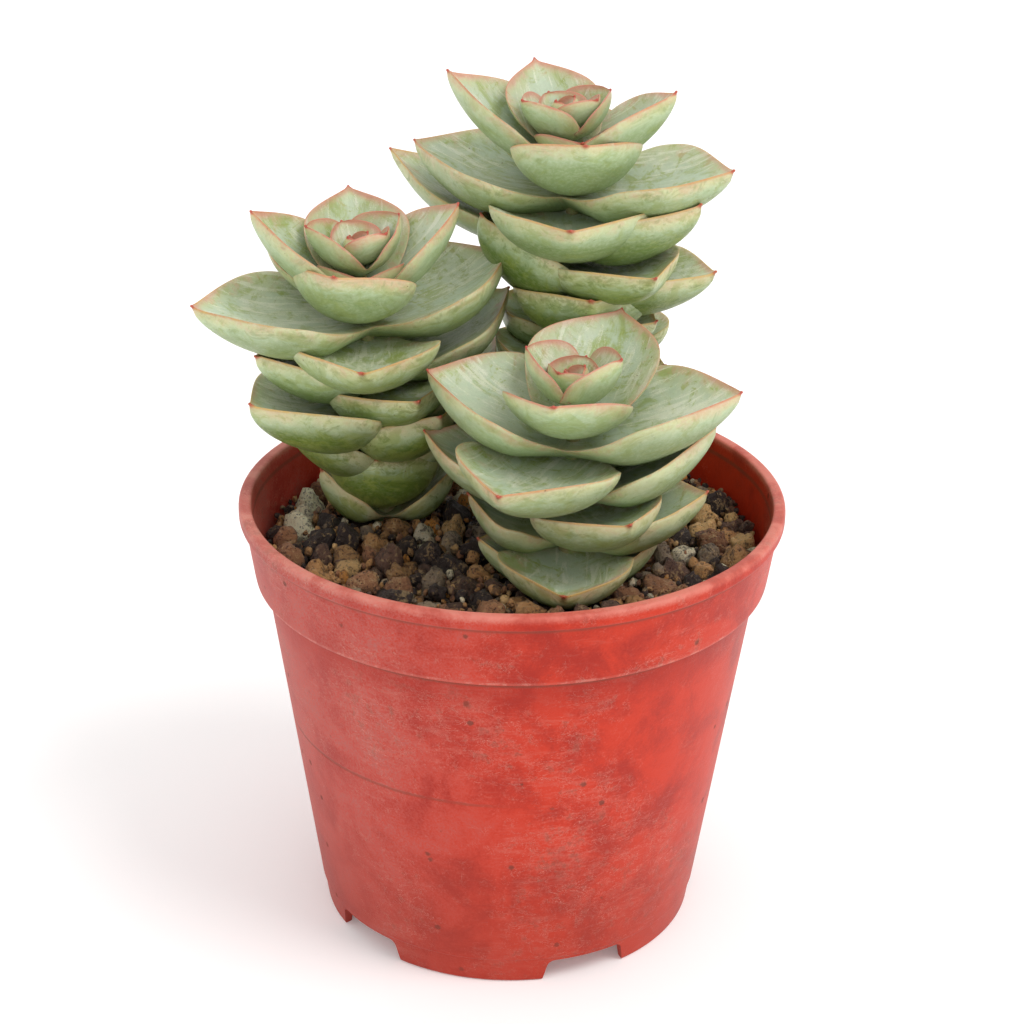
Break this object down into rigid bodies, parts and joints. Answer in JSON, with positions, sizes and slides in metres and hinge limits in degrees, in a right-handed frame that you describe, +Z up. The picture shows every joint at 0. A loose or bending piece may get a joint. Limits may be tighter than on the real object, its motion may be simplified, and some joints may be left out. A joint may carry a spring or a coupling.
{
  "type": "potted succulent",
  "caption": "Leafy succulent stems with stacked, pointed leaf pairs, growing in gritty mix in a round tapered nursery pot that stands on a notched foot.",
  "frame": {"origin": "centre of the object's footprint box, on the surface that the pot stands on", "axes": "+Z up, along the pot's axis; -Y towards the low stem at the front of the pot, +X to that stem's right"},
  "size_m": [0.0966, 0.0916, 0.138],
  "materials": {
    "leaf": "satin",
    "stem": "matte",
    "pot": "matte",
    "grit": "matte"
  },
  "bodies": {
    "root": {"back_leaf_pair_01": "leaf", "back_leaf_pair_02": "leaf", "back_leaf_pair_03": "leaf", "back_leaf_pair_04": "leaf", "back_leaf_pair_05": "leaf", "back_leaf_pair_06": "leaf", "back_leaf_pair_07": "leaf", "back_leaf_pair_08": "leaf", "back_leaf_pair_09": "leaf", "back_leaf_pair_10": "leaf", "back_leaf_pair_11": "leaf", "back_leaf_pair_12": "leaf", "back_leaf_pair_13": "leaf", "back_leaf_pair_14": "leaf", "back_leaf_pair_15": "leaf", "back_leaf_pair_16": "leaf", "back_leaf_pair_17": "leaf", "back_leaf_pair_18": "leaf", "back_stem": "stem", "front_leaf_pair_01": "leaf", "front_leaf_pair_02": "leaf", "front_leaf_pair_03": "leaf", "front_leaf_pair_04": "leaf", "front_leaf_pair_05": "leaf", "front_leaf_pair_06": "leaf", "front_leaf_pair_07": "leaf", "front_leaf_pair_08": "leaf", "front_leaf_pair_09": "leaf", "front_leaf_pair_10": "leaf", "front_stem": "stem", "left_leaf_pair_01": "leaf", "left_leaf_pair_02": "leaf", "left_leaf_pair_03": "leaf", "left_leaf_pair_04": "leaf", "left_leaf_pair_05": "leaf", "left_leaf_pair_06": "leaf", "left_leaf_pair_07": "leaf", "left_leaf_pair_08": "leaf", "left_leaf_pair_09": "leaf", "left_leaf_pair_10": "leaf", "left_leaf_pair_11": "leaf", "left_leaf_pair_12": "leaf", "left_leaf_pair_13": "leaf", "left_leaf_pair_14": "leaf", "left_stem": "stem", "pot": "pot", "potting_mix": "grit"}
  },
  "joints": []
}
